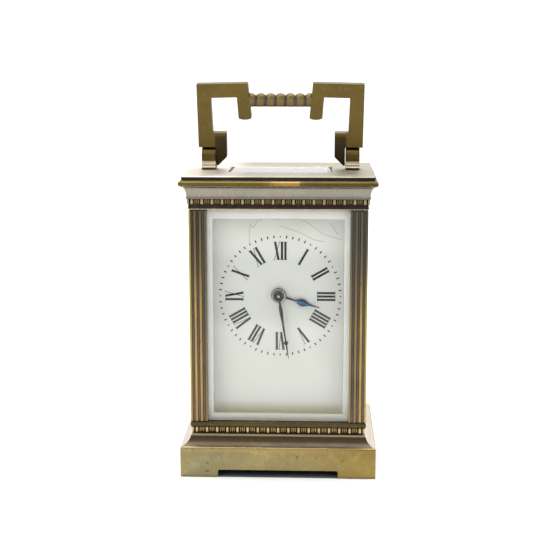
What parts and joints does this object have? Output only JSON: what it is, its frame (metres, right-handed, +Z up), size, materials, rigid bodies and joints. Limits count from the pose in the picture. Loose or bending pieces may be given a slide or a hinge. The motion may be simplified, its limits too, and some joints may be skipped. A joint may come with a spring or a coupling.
{
  "type": "carriage clock",
  "caption": "Glazed brass carriage clock with fluted pillars, reeded bands, Greek-key swing handle, rear door, enamel dial and lever movement.",
  "frame": {"origin": "centre of the plinth's footprint, on the surface it stands on", "axes": "+Z up, dial facing -Y, handle pivots along X, rear door on the +Y side"},
  "size_m": [0.086, 0.072, 0.1721],
  "materials": {
    "aged_brass": "tarnished satin",
    "dark_brass": "dark tarnish",
    "gilt_brass": "gilt satin",
    "steel": "polished",
    "blued_steel": "blued",
    "enamel": "white enamel",
    "glass": "clear bevelled"
  },
  "bodies": {
    "case": {"base_plinth": "aged_brass", "base_reeded_band": "aged_brass", "base_plate": "aged_brass", "pillar_front_left": "dark_brass", "pillar_front_right": "dark_brass", "pillar_rear_left": "dark_brass", "pillar_rear_right": "dark_brass", "architrave_reeded_band": "aged_brass", "cornice_frame": "aged_brass", "top_plate": "aged_brass", "top_glass": "glass", "front_glass": "glass", "side_glass_left": "glass", "side_glass_right": "glass", "handle_post_left": "aged_brass", "handle_post_right": "aged_brass", "handle_screw_left": "steel", "handle_screw_right": "steel", "movement_front_plate": "gilt_brass", "movement_back_plate": "gilt_brass", "movement_pillar_lower_left": "gilt_brass", "movement_pillar_lower_right": "gilt_brass", "movement_pillar_upper_left": "gilt_brass", "movement_pillar_upper_right": "gilt_brass", "seat_screw_left": "steel", "seat_screw_right": "steel", "dial": "enamel", "platform_plate": "gilt_brass", "escapement_bridge": "gilt_brass", "balance_cock": "gilt_brass", "click_spring": "steel"},
    "handle": {"handle_arm_left": "aged_brass", "handle_arm_right": "aged_brass", "handle_grip": "aged_brass"},
    "door": {"door_frame": "aged_brass", "door_glass": "glass", "door_knob": "gilt_brass", "door_hinge_pin_lower": "steel", "door_hinge_pin_upper": "steel"},
    "minute_work": {"hand_arbor": "steel", "minute_hand": "blued_steel"},
    "motion_wheel": {"minute_wheel": "gilt_brass"},
    "hour_work": {"hour_wheel": "gilt_brass", "hour_hand": "blued_steel"},
    "barrel": {"mainspring_barrel": "gilt_brass", "barrel_cap": "gilt_brass", "mainspring": "steel"},
    "winding": {"barrel_arbor": "steel", "ratchet_wheel": "steel"},
    "click": {"ratchet_click": "steel"},
    "intermediate": {"intermediate_wheel": "gilt_brass"},
    "centre": {"centre_wheel": "gilt_brass"},
    "third": {"third_wheel": "gilt_brass"},
    "contrate": {"contrate_wheel": "gilt_brass"},
    "escape": {"escape_wheel": "steel"},
    "lever": {"pallet_lever": "steel"},
    "balance": {"balance_wheel": "gilt_brass", "hairspring": "blued_steel"},
    "index": {"regulator_index": "steel"}
  },
  "joints": [
    {"name": "handle_swing", "type": "hinge", "parent": "case", "child": "handle", "pos_m": [0, 0, 0.1387], "axis": [1, 0, 0], "range_deg": [-98, 82]},
    {"name": "door_swing", "type": "hinge", "parent": "case", "child": "door", "pos_m": [0.0286, 0.0295, 0.07122], "axis": [0, 0, -1], "range_deg": [0, 100]},
    {"name": "hand_setting", "type": "hinge", "parent": "case", "child": "minute_work", "pos_m": [0, 0, 0.08], "axis": [0, 1, 0], "continuous": true},
    {"name": "minute_wheel_turn", "type": "hinge", "parent": "case", "child": "motion_wheel", "pos_m": [0.0036, 0, 0.07376], "axis": [0, 1, 0], "continuous": true},
    {"name": "hour_turn", "type": "hinge", "parent": "case", "child": "hour_work", "pos_m": [0, 0, 0.08], "axis": [0, 1, 0], "continuous": true},
    {"name": "contrate_turn", "type": "hinge", "parent": "case", "child": "contrate", "pos_m": [-0.007, 0, 0.0965], "axis": [0, 1, 0], "continuous": true},
    {"name": "third_turn", "type": "hinge", "parent": "case", "child": "third", "pos_m": [-0.00064, 0, 0.09024], "axis": [0, 1, 0], "continuous": true},
    {"name": "centre_turn", "type": "hinge", "parent": "case", "child": "centre", "pos_m": [0, 0, 0.08], "axis": [0, 1, 0], "continuous": true},
    {"name": "intermediate_turn", "type": "hinge", "parent": "case", "child": "intermediate", "pos_m": [0.00242, 0, 0.06948], "axis": [0, 1, 0], "continuous": true},
    {"name": "barrel_turn", "type": "hinge", "parent": "case", "child": "barrel", "pos_m": [-0.003, 0, 0.0525], "axis": [0, 1, 0], "continuous": true},
    {"name": "escape_turn", "type": "hinge", "parent": "case", "child": "escape", "pos_m": [-0.007, -0.0025, 0.1069], "axis": [0, 0, 1], "continuous": true},
    {"name": "winding_turn", "type": "hinge", "parent": "case", "child": "winding", "pos_m": [-0.003, 0, 0.0525], "axis": [0, -1, 0], "range_deg": [0, 1800]},
    {"name": "click_lift", "type": "hinge", "parent": "case", "child": "click", "pos_m": [0.005, 0, 0.056], "axis": [0, 1, 0], "range_deg": [0, 6], "stiffness_Nm_per_rad": 0.0005},
    {"name": "lever_rock", "type": "hinge", "parent": "case", "child": "lever", "pos_m": [-0.0002, -0.0025, 0.1069], "axis": [0, 0, 1], "range_deg": [-5, 5]},
    {"name": "balance_swing", "type": "hinge", "parent": "case", "child": "balance", "pos_m": [0.009, -0.0025, 0.1069], "axis": [0, 0, 1], "range_deg": [-135, 135], "stiffness_Nm_per_rad": 0.0000035},
    {"name": "index_turn", "type": "hinge", "parent": "case", "child": "index", "pos_m": [0.009, -0.0025, 0.1069], "axis": [0, 0, 1], "range_deg": [-20, 20]}
  ],
  "couplings": [
    {"joint": "minute_wheel_turn", "follows": "hand_setting", "ratio": -0.33333},
    {"joint": "hour_turn", "follows": "hand_setting", "ratio": 0.083333},
    {"joint": "third_turn", "follows": "contrate_turn", "ratio": -0.13333},
    {"joint": "centre_turn", "follows": "contrate_turn", "ratio": 0.016667},
    {"joint": "intermediate_turn", "follows": "contrate_turn", "ratio": -0.0033333},
    {"joint": "barrel_turn", "follows": "contrate_turn", "ratio": 0.00041667},
    {"joint": "escape_turn", "follows": "contrate_turn", "ratio": 10}
  ]
}
